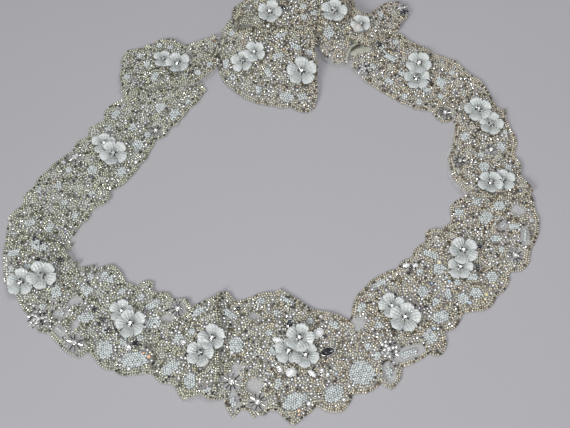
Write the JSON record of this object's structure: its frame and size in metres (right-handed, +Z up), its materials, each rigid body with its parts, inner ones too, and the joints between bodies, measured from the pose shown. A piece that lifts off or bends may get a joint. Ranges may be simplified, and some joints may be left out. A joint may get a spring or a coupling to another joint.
{
  "type": "bridal sash",
  "caption": "Beaded net bridal sash laid flat in an oval loop, with scalloped edges, moulded flowers and its tails crossed in a low heap at the back.",
  "frame": {"origin": "middle of the part's box in plan, at the height of the surface it lies on", "axes": "+Z up from the surface, +Y towards the heap of tails at the back, +X to the right as seen from the front"},
  "size_m": [0.4404, 0.4032, 0.0234],
  "materials": {
    "beaded_net": "fine net covered in silver-lined champagne seed beads",
    "moulded_flowers": "moulded opaque white petals with clear stones"
  },
  "bodies": {
    "root": {"left_back_arm": "beaded_net", "left_corner": "beaded_net", "front_left": "beaded_net", "front_centre": "beaded_net", "front_right": "beaded_net", "right_side": "beaded_net", "right_back_arm": "beaded_net", "tail_strip": "beaded_net", "front_lobe": "beaded_net", "rounded_fold": "beaded_net", "pointed_tip": "beaded_net", "heap_core": "beaded_net", "flowers_left_corner": "moulded_flowers", "flowers_front_left": "moulded_flowers", "flowers_front_inner": "moulded_flowers", "flowers_centre": "moulded_flowers", "flowers_front_right": "moulded_flowers", "flowers_right_corner": "moulded_flowers", "flowers_side_low": "moulded_flowers", "flowers_side_high": "moulded_flowers", "flowers_back_right": "moulded_flowers", "flowers_left_back": "moulded_flowers", "flowers_tail": "moulded_flowers", "flowers_lobe_left": "moulded_flowers", "flower_lobe_right": "moulded_flowers", "flower_heap_top": "moulded_flowers", "flower_fold": "moulded_flowers", "flower_tip": "moulded_flowers"}
  },
  "joints": []
}
